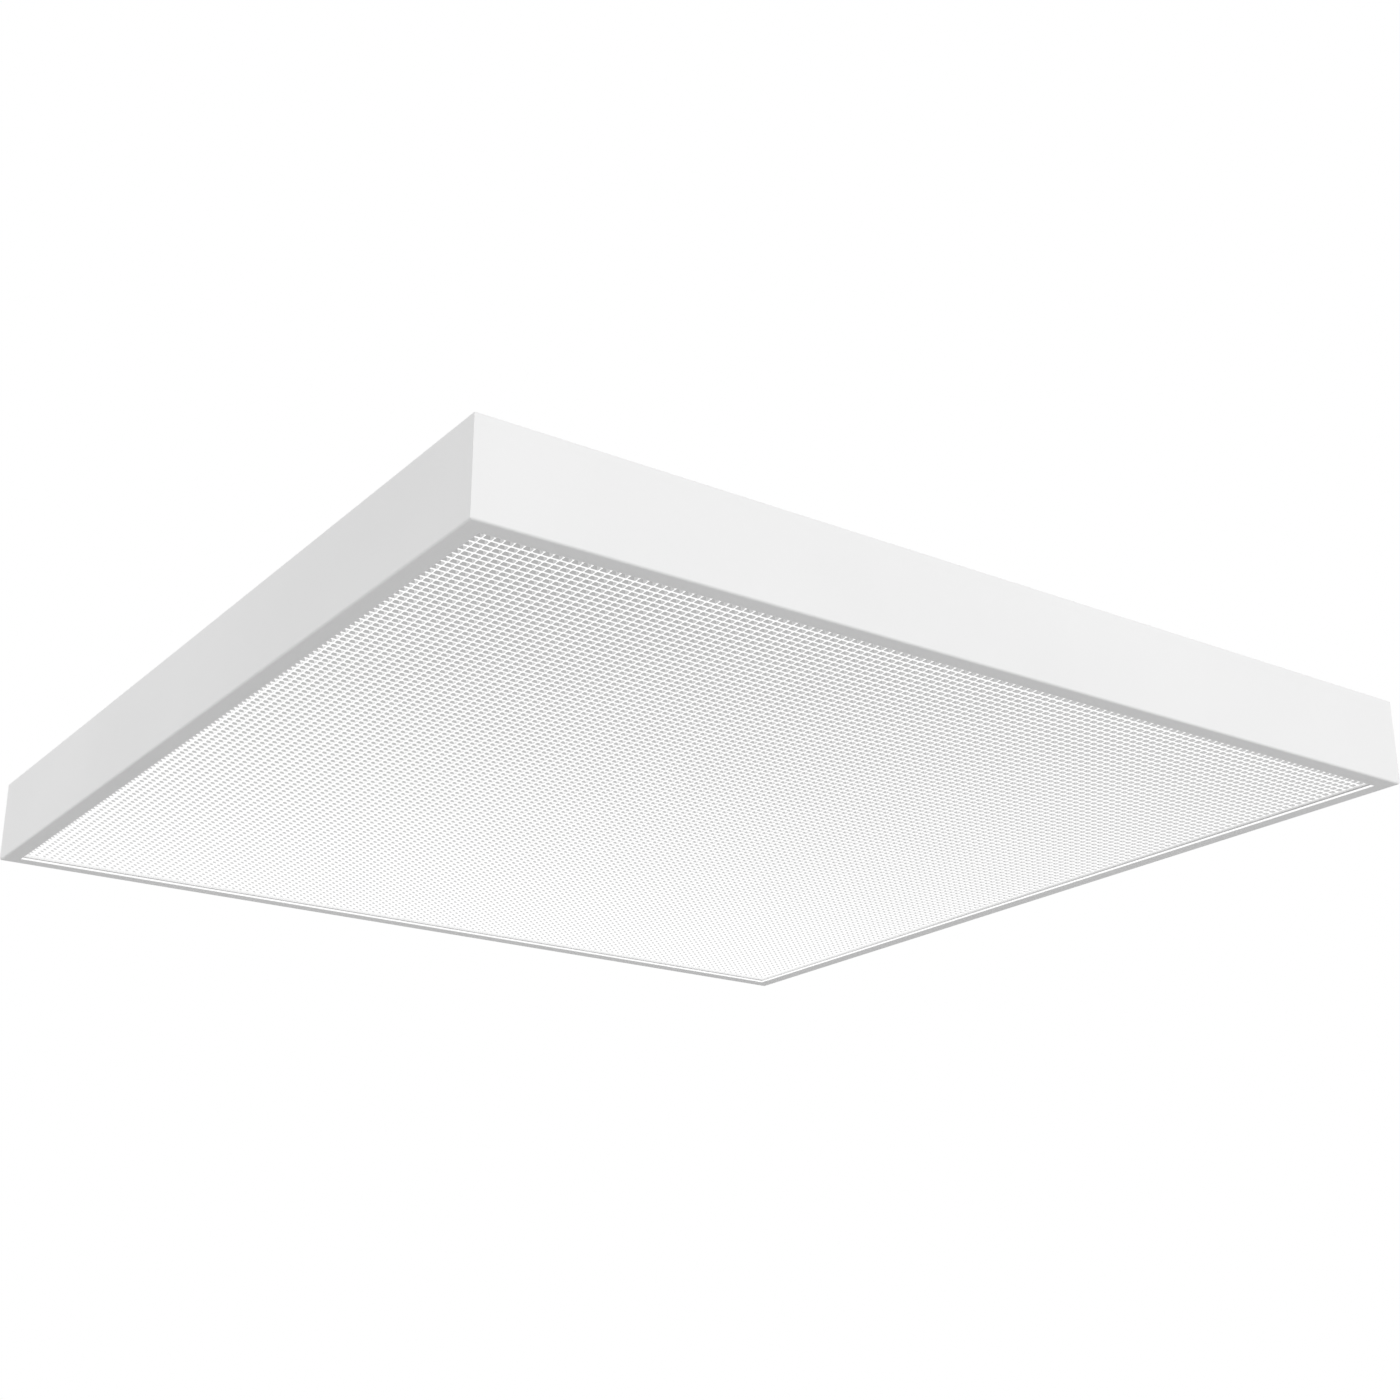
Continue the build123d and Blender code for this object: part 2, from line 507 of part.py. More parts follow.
def driver_parts():
    """Base with feet, channel cover, circuit, terminals at both ends, screws and selector."""
    half_width = DRIVER_WIDTH / 2
    y_range = (COMPARTMENT_Y - half_width, COMPARTMENT_Y + half_width)
    base_top = TRAY_TOP + DRIVER_SHEET
    base = slab((DRIVER_X[0] - DRIVER_FOOT, DRIVER_X[1] + DRIVER_FOOT), y_range, (TRAY_TOP, base_top))
    for place in driver_screw_places():
        base -= post(place, 2.0, TRAY_TOP - 1, base_top + 1)
    save("driver_base", base)

    inner_y = (y_range[0] + DRIVER_SHEET, y_range[1] - DRIVER_SHEET)
    cover = slab(DRIVER_X, y_range, (base_top, DRIVER_TOP))
    cover = fillet(cover.edges().filter_by(Axis.X).group_by(Axis.Z)[-1], 1.2)
    cover -= slab((DRIVER_X[0] - 1, DRIVER_X[1] + 1), inner_y, (base_top - 1, DRIVER_TOP - DRIVER_SHEET))
    slot_x = (selector_centre_x() - 2.0, selector_centre_x() + 2.0 + SELECTOR_TRAVEL)
    slot_y = (COMPARTMENT_Y - 1.7, COMPARTMENT_Y + 1.7)
    save("driver_cover", cover - slab(slot_x, slot_y, (DRIVER_TOP - 2, DRIVER_TOP + 1)))

    clear = 0.2
    port_depth = 7.0
    block_y = (inner_y[0] + clear, inner_y[1] - clear)
    block_z = (base_top, DRIVER_TOP - DRIVER_SHEET - clear)
    ends = (("driver_input_terminal", DRIVER_X[0], 1, driver_input_ports(), DRIVER_IN_Z),
            ("driver_output_terminal", DRIVER_X[1], -1, driver_output_ports(), DRIVER_OUT_Z))
    for name, face, inward, ports, port_z in ends:
        terminal = slab(sorted((face, face + inward * DRIVER_TERMINAL)), block_y, block_z)
        for y in ports:
            terminal -= rod_x(sorted((face, face + inward * port_depth)), y, port_z, LEAD_RADIUS + 0.3)
            release = (port_z + 3.4, port_z + 5.4)
            terminal -= slab((face - 3, face + 3), (y - 1.5, y + 1.5), release)
        save(name, terminal)

    inset = DRIVER_TERMINAL + clear
    board_x = (DRIVER_X[0] + inset, DRIVER_X[1] - inset)
    circuit_z = base_top + 2.4
    circuit = slab(board_x, (block_y[0] + 1, block_y[1] - 1), (circuit_z, circuit_z + 1.6))
    on_board = circuit_z + 1.6
    for x, size in ((-15.0, (20.0, 24.0, 11.0)), (30.0, (24.0, 22.0, 12.0)), (60.0, (12.0, 16.0, 9.0))):
        circuit += block((x, COMPARTMENT_Y), size, on_board)
    circuit += post((8.0, COMPARTMENT_Y - 8), 5.0, on_board, on_board + 12)
    circuit += post((8.0, COMPARTMENT_Y + 8), 5.0, on_board, on_board + 12)
    for x in (board_x[0] + 4, board_x[1] - 4):
        circuit += post((x, COMPARTMENT_Y - 14), 2.0, base_top, circuit_z)
        circuit += post((x, COMPARTMENT_Y + 14), 2.0, base_top, circuit_z)
    switch_x = selector_centre_x() + SELECTOR_TRAVEL / 2
    circuit += block((switch_x, COMPARTMENT_Y), (12.0, 7.0, DRIVER_TOP - 3.2 - on_board), on_board)
    save("driver_circuit", circuit)

    stem_bottom = DRIVER_TOP - 3.0
    selector = block((selector_centre_x(), COMPARTMENT_Y), (7.0, 5.0, 1.4), stem_bottom)
    selector += block((selector_centre_x(), COMPARTMENT_Y), (3.4, 3.0, 4.6), stem_bottom)
    save("current_selector", selector)
    save("driver_screws", *[pan_head_screw(place, base_top, 3.4, 2.2, 1.5, 4.0) for place in driver_screw_places()])


def selector_centre_x():
    """Rest place of the current selector, at the low end of its slot."""
    return DRIVER_X[1] - 22.0


def driver_input_ports():
    """Y of the driver's mains ports."""
    return [COMPARTMENT_Y + 6.0 * i for i in (-1, 0, 1)]


def driver_output_ports():
    """Y of the driver's output ports."""
    return [COMPARTMENT_Y - 2.25, COMPARTMENT_Y + 2.25]


# ---------------------------------------------------------------- mains terminal
def terminal_screw_places():
    """Centres of the two screws through the terminal block's ears."""
    x = sum(TERMINAL_X) / 2
    offset = TERMINAL_WIDTH / 2 + 3.5
    return [(x, COMPARTMENT_Y - offset), (x, COMPARTMENT_Y + offset)]


def terminal_clamp(y, pocket_floor):
    """Contact of one pole: a bar on the cavity's floor and a spring leaf that stands up under the button."""
    x_range = (TERMINAL_X[0] + 7.3, BUTTON_X - 0.3)
    floor = TERMINAL_PORT_Z - 3.0
    bar = slab(x_range, (y - 1.9, y + 1.9), (floor, floor + 0.9))
    leaf = slab((x_range[0], x_range[0] + 0.5), (y - 1.7, y + 1.7), (pocket_floor - 2.5, pocket_floor - 0.2))
    roof = slab(x_range, (y - 1.7, y + 1.7), (pocket_floor - 0.7, pocket_floor - 0.2))
    post_x = (x_range[1] - 0.6, x_range[1])
    return bar + leaf + roof + slab(post_x, (y + 1.3, y + 1.9), (floor, pocket_floor - 0.2))


def terminal_parts():
    """Block with a port each side of every pole, its release buttons and its screws."""
    half_width = TERMINAL_WIDTH / 2
    y_range = (COMPARTMENT_Y - half_width, COMPARTMENT_Y + half_width)
    body = slab(TERMINAL_X, y_range, (TRAY_TOP, TERMINAL_TOP))
    body = chamfer(body.edges().filter_by(Axis.Y).group_by(Axis.Z)[-1], 1.5)
    for x, y in terminal_screw_places():
        ear = slab((x - 4, x + 4), (y - 3.5, y + 3.5), (TRAY_TOP, TRAY_TOP + 2.5))
        body += ear - post((x, y), 1.7, TRAY_TOP - 1, TRAY_TOP + 4)
    pocket = (BUTTON[0] + 2 * BUTTON_CLEARANCE, BUTTON[1] + 2 * BUTTON_CLEARANCE)
    pocket_floor = TERMINAL_TOP - 6.0
    clamps = []
    for y in POLES:
        port = 1.9
        body -= slab((TERMINAL_X[0] - 1, TERMINAL_X[0] + 8), (y - port, y + port),
                     (TERMINAL_PORT_Z - port, TERMINAL_PORT_Z + port))
        body -= slab((TERMINAL_X[0] + 7, BUTTON_X), (y - 2.2, y + 2.2), (TERMINAL_PORT_Z - 3.0, pocket_floor + 1))
        clamps.append(terminal_clamp(y, pocket_floor))
        body -= rod_x((TERMINAL_X[1] - 6, TERMINAL_X[1] + 1), y, TERMINAL_PORT_Z, LEAD_RADIUS + 0.2)
        body -= slab((BUTTON_X - pocket[0] / 2, BUTTON_X + pocket[0] / 2),
                     (y - pocket[1] / 2, y + pocket[1] / 2), (pocket_floor, TERMINAL_TOP + 1))
    for y in (COMPARTMENT_Y - POLE_PITCH / 2, COMPARTMENT_Y + POLE_PITCH / 2):
        body -= slab((TERMINAL_X[0] - 1, TERMINAL_X[1] + 1), (y - 0.4, y + 0.4),
                     (TERMINAL_TOP - 1.2, TERMINAL_TOP + 1))
    save("terminal_block", body)
    save("terminal_clamps", *clamps)

    button_foot = pocket_floor + BUTTON_TRAVEL + 0.4
    height = TERMINAL_TOP + BUTTON_PROUD - button_foot
    for name, y in zip(("line", "neutral", "earth"), POLES):
        button = block((BUTTON_X, y), (*BUTTON, height), button_foot)
        button = fillet(button.edges().group_by(Axis.Z)[-1], 0.8)
        groove = slab((BUTTON_X - 2, BUTTON_X + 2), (y - 0.45, y + 0.45),
                      (TERMINAL_TOP + BUTTON_PROUD - 0.8, TERMINAL_TOP + 9))
        save(f"terminal_button_{name}", button - groove)
    screws = [pan_head_screw(place, TRAY_TOP + 2.5, 2.8, 1.8, 1.5, 5.0) for place in terminal_screw_places()]
    save("terminal_screws", *screws)


# ---------------------------------------------------------------- internal leads
def bend_radii(points):
    """Largest tangent arcs that two neighbouring runs leave room for."""
    vectors = [Vector(*b) - Vector(*a) for a, b in zip(points, points[1:])]
    radii = []
    for before, after in zip(vectors, vectors[1:]):
        half_turn = radians(before.get_angle(after) / 2)
        radii.append(0.45 * min(before.length, after.length) / tan(half_turn))
    return radii


def feed_connector_face():
    """Where the light source leads enter the connector on the third board from the back."""
    board_y = BOARD_Y[3]
    return (170.0, board_y + 9.5)


def lead(name, points, radius):
    """Insulated lead along its route; prints its tightest bend."""
    radii = bend_radii(points)
    solid = tube(points, radii, radius)
    print(f"{name}: tightest bend {min(radii):.1f} mm, tube radius {radius} mm")
    save(name, solid)


def lead_parts():
    """Mains leads to the driver, the earth lead with its lug, and the leads to the boards."""
    start, out = TERMINAL_X[1] - 5.0, TERMINAL_X[1] + 10.0
    into, enter = DRIVER_X[0] - 10.0, DRIVER_X[0] + 5.0
    ports = driver_input_ports()
    for name, y0, y1 in (("lead_line", POLES[0], ports[0]), ("lead_neutral", POLES[1], ports[1])):
        points = [(start, y0, TERMINAL_PORT_Z), (out, y0, TERMINAL_PORT_Z),
                  (into, y1, DRIVER_IN_Z), (enter, y1, DRIVER_IN_Z)]
        lead(name, points, LEAD_RADIUS)

    stud_x, stud_y = EARTH_STUD
    lug_z = TRAY_TOP + 1.0
    lug_mouth = stud_y - 11.0
    earth_y = POLES[2]
    crimp_z = lug_z + 1.8
    lead("lead_earth", [(start, earth_y, TERMINAL_PORT_Z), (stud_x, earth_y, TERMINAL_PORT_Z),
                        (stud_x, lug_mouth - 6.0, crimp_z), (stud_x, lug_mouth, crimp_z)], LEAD_RADIUS)
    lug = post(EARTH_STUD, 4.2, lug_z, lug_z + 0.8)
    lug += slab((stud_x - 2, stud_x + 2), (lug_mouth + 4, stud_y), (lug_z, lug_z + 0.8))
    barrel = Pos(stud_x, lug_mouth + 3, crimp_z) * Rot(90, 0, 0) * Cylinder(1.8, 6)
    save("earth_lug", lug + barrel - post(EARTH_STUD, 2.2, lug_z - 1, lug_z + 2))
    stud = post(EARTH_STUD, 2.0, TRAY_TOP, TRAY_TOP + 11.0) + post(EARTH_STUD, 4.0, TRAY_TOP, lug_z)
    save("earth_stud", chamfer(stud.edges().sort_by(Axis.Z)[-1], 0.4))
    nut = hex_post(EARTH_STUD, 7.0, lug_z + 0.8, lug_z + 4.0)
    save("earth_nut", nut - post(EARTH_STUD, 2.1, lug_z, lug_z + 5))

    start = DRIVER_X[1] - 5.0
    feed_x, feed_y = feed_connector_face()
    for name, y in zip(("led_lead_minus", "led_lead_plus"), driver_output_ports()):
        side = y - COMPARTMENT_Y
        points = [(start, y, DRIVER_OUT_Z), (DRIVER_X[1] + LED_LEAD_DROP[0], y, DRIVER_OUT_Z),
                  (DRIVER_X[1] + LED_LEAD_DROP[1], y, JUMPER_Z), (feed_x + side, y, JUMPER_Z),
                  (feed_x + side, feed_y, JUMPER_Z)]
        lead(name, points, LED_LEAD_RADIUS)

    grommet = post(GROMMET, 8.0, TRAY_UNDER - 1.0, TRAY_TOP + 1.0)
    grommet -= post(GROMMET, 9.0, TRAY_UNDER, TRAY_TOP) - post(GROMMET, 6.3, TRAY_UNDER, TRAY_TOP)
    save("tray_grommet", grommet - post(GROMMET, 5.6, TRAY_UNDER - 2, TRAY_TOP + 2))


# ---------------------------------------------------------------- build
os.makedirs("parts", exist_ok=True)
frame_parts()
optical_parts()
light_source_parts()
back_parts()
gland_parts()
driver_parts()
terminal_parts()
lead_parts()
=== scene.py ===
import json
import math

import bpy
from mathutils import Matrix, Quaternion, Vector


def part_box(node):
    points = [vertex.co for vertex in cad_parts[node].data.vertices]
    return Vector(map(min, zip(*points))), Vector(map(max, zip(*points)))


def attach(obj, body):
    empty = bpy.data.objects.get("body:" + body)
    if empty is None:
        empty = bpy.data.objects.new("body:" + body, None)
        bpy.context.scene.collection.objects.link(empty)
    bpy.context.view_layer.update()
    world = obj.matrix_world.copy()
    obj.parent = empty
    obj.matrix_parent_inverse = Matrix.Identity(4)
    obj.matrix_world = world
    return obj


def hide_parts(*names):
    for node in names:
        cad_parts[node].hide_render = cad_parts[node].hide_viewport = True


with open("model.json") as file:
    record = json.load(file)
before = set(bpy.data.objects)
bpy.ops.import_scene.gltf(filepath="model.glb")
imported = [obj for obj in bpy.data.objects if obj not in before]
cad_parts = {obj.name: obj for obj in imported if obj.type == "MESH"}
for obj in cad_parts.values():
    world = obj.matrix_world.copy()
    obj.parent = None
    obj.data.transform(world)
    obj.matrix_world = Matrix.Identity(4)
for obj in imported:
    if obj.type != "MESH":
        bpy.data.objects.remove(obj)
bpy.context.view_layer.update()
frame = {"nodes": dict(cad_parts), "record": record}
nodes = frame["nodes"]
MM = 0.001
WHITE = (1, 1, 1, 1)

# ---------------------------------------------------------------- sizes of the lens and of the lip
LENS_PITCH = 4.866 * MM
LENS_CELLS = 119                # along each side of the square
LENS_END = 286.1 * MM, 284.1 * MM    # last cell's edge at the right, and at the back
LENS_START = tuple(end - LENS_CELLS * LENS_PITCH for end in LENS_END)
LAND = 0.16 * MM, 0.28 * MM     # half of the land between two pockets, across x and across y
POCKET_DEPTH = 2.6 * MM
POCKET_DRAFT = 0.1 * MM         # how far each wall leans in, from the mouth to the floor
LENS_LOW, LENS_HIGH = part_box("prismatic_lens")
LIP_WIDTH = 10.0 * MM
LIP_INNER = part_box("frame_rail_front")[1][0] - LIP_WIDTH
LIP_EDGE_REACH = 1.0 * MM       # how far outside its inner line the edge of the lip may glow

# ---------------------------------------------------------------- light of the lens
# Glow is painted light, a strength of emission, and a wall's painted shade is how much of that glow its
# dark patch takes away. Fours are the values at the front left, front right, back left and back right
# corner of the lens, and change evenly between them. The walls of a pocket that lie across y are called
# back walls, and those across x side walls.
LAND_GLOW = 0.65
MARGIN_GLOW = 0.36, 0.14, 0.34, 0.34
LIP_EDGE_GLOW = 0.45
MOUTH_GLOW = 0.78               # painted light of the walls, outside their dark patch of painted shade
POCKET_FLOOR_GLOW = 0.46
BACK_PAINTED_SHADE = 0.55, 0.44, 0.39, 0.42   # painted shade: what the dark patch takes from a back wall's glow
SIDE_PAINTED_SHADE = 0.42, 0.44, 0.00, 0.08   # and from a side wall
BACK_START = 0.25, 0.40, 0.55, 0.58  # share of a back wall's length where its dark patch begins
BACK_LEAN = 0.17                # how much sooner it begins per mm of depth
BACK_STOP = 0.0, 0.0, 0.22, 0.22     # how much sooner it ends per mm of depth
SIDE_START = 0.40               # share of a side wall's length where its dark patch begins
BACK_RIM = 0.30, 0.37, 0.33, 0.33    # depth in mm where the dark patch of a back wall begins
SIDE_RIM = 0.12, 0.25, 0.50, 0.50    # and that of a side wall
PATCH_BLUR = 0.11               # half width of a patch's soft edge, as a share of length or in mm of depth
UPRIGHT = 0.6                   # a face is upright if its normal's z is less
CROSSWISE = 0.5                 # a wall or floor is across an axis if its normal has more of it

# ---------------------------------------------------------------- camera, floor, lamps and eased edges
CAMERA_PLACE = (-0.6770, -1.0000, -0.3830)
CAMERA_TARGET = (-0.1007, -0.1817, 0.0)
CAMERA_ROLL = math.radians(-0.08)
CAMERA_LENS = 54.75             # in mm, as is the sensor's width
SENSOR_WIDTH = 36.0
FLOOR_DROP = 1.6                # below the underside of the lip
FLOOR_HALF = 9.0                # half of its side
AMBIENT_LIGHT = 0.462
LAMP_SIZE = 2.0
LAMPS = {                       # place, and power in watts
    "lamp_front": ((0.35, -3.0, 0.9), 45.2),
    "lamp_left": ((-2.6, 1.1, 0.7), 24.2),
}
BEVELS = {                      # width of the eased edges, in mm
    "frame_rail": 0.15, "wiring_cover": 0.2, "back_pan": 0.15, "driver_": 0.25, "terminal_": 0.2,
    "gland_": 0.25, "hanger_loop": 0.1, "hold_down": 0.15, "corner_gusset": 0.15, "current_": 0.15,
}
BEVEL_ANGLE = math.radians(50)  # edges sharper than this are eased


# ---------------------------------------------------------------- nodes of a material
def new_material(name, roughness, metallic=0.0):
    """Principled material, with its node tree and its shader."""
    material = bpy.data.materials.new(name)
    material.use_nodes = True
    tree = material.node_tree
    shader = tree.nodes["Principled BSDF"]
    shader.inputs["Roughness"].default_value = roughness
    shader.inputs["Metallic"].default_value = metallic
    return material, tree, shader


def texture(tree, kind, scale, detail=2.0, stretch=(1, 1, 1)):
    """Noise or Voronoi texture in object coordinates."""
    place = tree.nodes.new("ShaderNodeTexCoord")
    mapping = tree.nodes.new("ShaderNodeMapping")
    mapping.inputs["Scale"].default_value = stretch
    tree.links.new(place.outputs["Object"], mapping.inputs["Vector"])
    pattern = tree.nodes.new(kind)
    pattern.inputs["Scale"].default_value = scale
    pattern.inputs["Detail"].default_value = detail
    tree.links.new(mapping.outputs["Vector"], pattern.inputs["Vector"])
    return pattern


def shade(colour, factor):
    """Colour made lighter or darker."""
    return tuple(min(1.0, c * factor) for c in colour)


def tint(tree, shader, source, stops):
    """Base colour between two stops, each a value of the texture and the colour there."""
    ramp = tree.nodes.new("ShaderNodeValToRGB")
    for element, (place, colour) in zip(ramp.color_ramp.elements, stops):
        element.position = place
        element.color = (*colour, 1.0)
    tree.links.new(source, ramp.inputs["Fac"])
    tree.links.new(ramp.outputs["Color"], shader.inputs["Base Color"])


def bump(tree, shader, source, distance, strength):
    """Bump of the given height in metres."""
    node = tree.nodes.new("ShaderNodeBump")
    node.inputs["Distance"].default_value = distance
    node.inputs["Strength"].default_value = strength
    tree.links.new(source, node.inputs["Height"])
    tree.links.new(node.outputs["Normal"], shader.inputs["Normal"])


def object_axes(tree, output):
    """X, Y and Z of a point in the object's own frame ("Object"), or of the surface's normal ("Normal")."""
    place = tree.nodes.new("ShaderNodeTexCoord")
    axes = tree.nodes.new("ShaderNodeSeparateXYZ")
    tree.links.new(place.outputs[output], axes.inputs["Vector"])
    return [axes.outputs[k] for k in "XYZ"]


def scaled(tree, value, span_from, span_to):
    """Value carried from one span to the other, and held at its ends."""
    node = tree.nodes.new("ShaderNodeMapRange")
    for name, number in zip(("From Min", "From Max", "To Min", "To Max"), (*span_from, *span_to)):
        node.inputs[name].default_value = number
    tree.links.new(value, node.inputs["Value"])
    return node.outputs["Result"]


def math_node(tree, operation, *values):
    """Sum, product or other operation on sockets and plain numbers."""
    node = tree.nodes.new("ShaderNodeMath")
    node.operation = operation
    for socket, value in zip(node.inputs, values):
        if isinstance(value, (int, float)):
            socket.default_value = value
        else:
            tree.links.new(value, socket)
    return node.outputs[0]


def mixed(tree, share, first, second):
    """First value where the share is 0, and second where it is 1."""
    change = math_node(tree, "MULTIPLY", share, math_node(tree, "SUBTRACT", second, first))
    return math_node(tree, "ADD", first, change)


# ---------------------------------------------------------------- materials
def powder_coat(name, colour, roughness=0.38):
    """Sprayed paint: faint orange peel and the least unevenness of colour."""
    material, tree, shader = new_material(name, roughness)
    cloud = texture(tree, "ShaderNodeTexNoise", scale=9.0, detail=3.0)
    tint(tree, shader, cloud.outputs["Fac"], [(0.3, shade(colour, 0.985)), (0.7, shade(colour, 1.01))])
    peel = texture(tree, "ShaderNodeTexNoise", scale=1400.0, detail=1.0)
    bump(tree, shader, peel.outputs["Fac"], distance=0.00002, strength=0.25)
    return material


def frame_paint(name):
    """Powder coat of the frame, with the light of the lens on the inner edge of its lip."""
    material = powder_coat(name, (0.90, 0.90, 0.90), roughness=0.55)
    tree = material.node_tree
    shader = tree.nodes["Principled BSDF"]
    x, y, z = object_axes(tree, "Object")
    normal_z = object_axes(tree, "Normal")[2]
    outward = math_node(tree, "MAXIMUM", math_node(tree, "ABSOLUTE", x), math_node(tree, "ABSOLUTE", y))
    inside = math_node(tree, "LESS_THAN", outward, LIP_INNER + LIP_EDGE_REACH)
    low = math_node(tree, "LESS_THAN", z, LENS_LOW[2])
    upright = math_node(tree, "LESS_THAN", math_node(tree, "ABSOLUTE", normal_z), UPRIGHT)
    edge = math_node(tree, "MULTIPLY", math_node(tree, "MULTIPLY", inside, low), upright)
    shader.inputs["Emission Color"].default_value = WHITE
    tree.links.new(math_node(tree, "MULTIPLY", edge, LIP_EDGE_GLOW), shader.inputs["Emission Strength"])
    return material


def galvanised(name, colour):
    """Spangled zinc on folded sheet."""
    material, tree, shader = new_material(name, roughness=0.42, metallic=0.85)
    spangle = texture(tree, "ShaderNodeTexVoronoi", scale=140.0)
    tint(tree, shader, spangle.outputs["Color"], [(0.2, shade(colour, 0.82)), (0.8, shade(colour, 1.12))])
    grain = texture(tree, "ShaderNodeTexNoise", scale=900.0, detail=2.0)
    bump(tree, shader, grain.outputs["Fac"], distance=0.00003, strength=0.3)
    return material


def drawn_metal(name, colour, roughness=0.3):
    """Bright plated or drawn metal with fine streaks."""
    material, tree, shader = new_material(name, roughness, metallic=1.0)
    streak = texture(tree, "ShaderNodeTexNoise", scale=500.0, detail=3.0, stretch=(1, 1, 0.12))
    tint(tree, shader, streak.outputs["Fac"], [(0.3, shade(colour, 0.86)), (0.7, shade(colour, 1.06))])
    bump(tree, shader, streak.outputs["Fac"], distance=0.00002, strength=0.3)
    return material


def moulded(name, colour, roughness=0.45, grain_scale=1100.0):
    """Moulded plastic or rubber: fine spark-eroded grain and a slight unevenness of colour."""
    material, tree, shader = new_material(name, roughness)
    cloud = texture(tree, "ShaderNodeTexNoise", scale=60.0, detail=2.0)
    tint(tree, shader, cloud.outputs["Fac"], [(0.3, shade(colour, 0.94)), (0.7, shade(colour, 1.05))])
    grain = texture(tree, "ShaderNodeTexNoise", scale=grain_scale, detail=1.0)
    bump(tree, shader, grain.outputs["Fac"], distance=0.00003, strength=0.3)
    return material


MAKERS = {                      # what makes the material of each slot
    "frame_paint": frame_paint,
    "reflector_paint": lambda n: powder_coat(n, (0.93, 0.93, 0.93), 0.6),
    "galvanised_steel": lambda n: galvanised(n, (0.60, 0.62, 0.64)),
    "zinc_steel": lambda n: drawn_metal(n, (0.70, 0.71, 0.72)),
    "lens_acrylic": lambda n: moulded(n, (0.90, 0.91, 0.92), 0.2),
    "opal_sheet": lambda n: moulded(n, (0.93, 0.93, 0.92), 0.6),
    # grey foam, partly its own colour and partly painted shade: made darker to stand for the shade in the
    # gap between the lip and the lens
    "foam": lambda n: moulded(n, (0.48, 0.48, 0.48), 0.8, 500.0),
    "board_white": lambda n: moulded(n, (0.88, 0.89, 0.87), 0.4),
    "led_phosphor": lambda n: moulded(n, (0.90, 0.75, 0.22), 0.5),
    "nylon_natural": lambda n: moulded(n, (0.82, 0.80, 0.74)),
    "jumper_insulation": lambda n: moulded(n, (0.82, 0.82, 0.82)),
    "gland_nylon": lambda n: moulded(n, (0.50, 0.52, 0.53)),
    "seal_rubber": lambda n: moulded(n, (0.03, 0.03, 0.03), 0.7),
    "driver_case": lambda n: powder_coat(n, (0.84, 0.84, 0.83)),
    "circuit_resin": lambda n: moulded(n, (0.05, 0.22, 0.10), 0.35),
    "terminal_plastic": lambda n: moulded(n, (0.78, 0.78, 0.75)),
    "button_grey": lambda n: moulded(n, (0.16, 0.17, 0.18)),
    "button_blue": lambda n: moulded(n, (0.05, 0.16, 0.48)),
    "button_green": lambda n: moulded(n, (0.06, 0.32, 0.09)),
    "insulation_brown": lambda n: moulded(n, (0.18, 0.08, 0.04)),
    "insulation_blue": lambda n: moulded(n, (0.04, 0.15, 0.48)),
    "insulation_earth": lambda n: moulded(n, (0.18, 0.42, 0.06)),
    "insulation_black": lambda n: moulded(n, (0.03, 0.03, 0.03)),
    "insulation_red": lambda n: moulded(n, (0.50, 0.04, 0.03)),
    "brass": lambda n: drawn_metal(n, (0.72, 0.55, 0.26)),
}
materials = {slot: make(slot) for slot, make in MAKERS.items()}


# ---------------------------------------------------------------- materials of the lit lens
def over_lens(tree, x, y):
    """How far to the right and to the back of the lens a point is, from 0 to 1."""
    spans = zip((x, y), LENS_START, LENS_END)
    return [scaled(tree, value, (start, end), (0.0, 1.0)) for value, start, end in spans]


def graded(tree, spot, corners):
    """Value that changes evenly over the lens between its four corners."""
    rightward, backward = spot
    front = scaled(tree, rightward, (0.0, 1.0), corners[:2])
    back = scaled(tree, rightward, (0.0, 1.0), corners[2:])
    return mixed(tree, backward, front, back)


def lens_plastic(name, colour, roughness):
    """Milky acrylic with faint flow marks."""
    material, tree, shader = new_material(name, roughness)
    cloud = texture(tree, "ShaderNodeTexNoise", scale=20.0, detail=2.0)
    tint(tree, shader, cloud.outputs["Fac"], [(0.3, shade(colour, 0.98)), (0.7, shade(colour, 1.02))])
    shader.inputs["Emission Color"].default_value = WHITE
    return material, tree, shader


def lens_land(name):
    """Lands of the lit lens: bright white."""
    material, tree, shader = lens_plastic(name, (0.90, 0.90, 0.90), roughness=0.25)
    shader.inputs["Emission Strength"].default_value = LAND_GLOW
    return material


def lens_margin(name):
    """Plain border, rim and top of the lens, outside the pattern, with painted light that is brighter or
    dimmer towards each corner.
    """
    material, tree, shader = lens_plastic(name, (0.90, 0.90, 0.90), roughness=0.25)
    x, y = object_axes(tree, "Object")[:2]
    tree.links.new(graded(tree, over_lens(tree, x, y), MARGIN_GLOW), shader.inputs["Emission Strength"])
    return material


def beyond(tree, value, limit):
    """0 below the limit and 1 above it, with a soft step."""
    past = math_node(tree, "SUBTRACT", value, limit)
    step = scaled(tree, past, (-PATCH_BLUR, PATCH_BLUR), (0.0, 1.0))
    step.node.interpolation_type = "SMOOTHSTEP"
    return step


def along_wall(tree, place, axis, facing):
    """Share of a wall's length, to the right or to the back, and the other way on the opposite wall."""
    cell = scaled(tree, place, (LENS_START[axis], LENS_END[axis]), (0.0, LENS_CELLS))
    share = LAND[axis] / LENS_PITCH
    within = scaled(tree, math_node(tree, "FRACT", cell), (share, 1 - share), (-0.5, 0.5))
    turned = math_node(tree, "MULTIPLY", within, math_node(tree, "SIGN", facing))
    return math_node(tree, "SUBTRACT", 0.5, turned)


def wall_glow(tree, shade_strength, shade_patch):
    """Painted light of a wall, less in its dark patch of painted shade."""
    return math_node(tree, "SUBTRACT", MOUTH_GLOW, math_node(tree, "MULTIPLY", shade_strength, shade_patch))


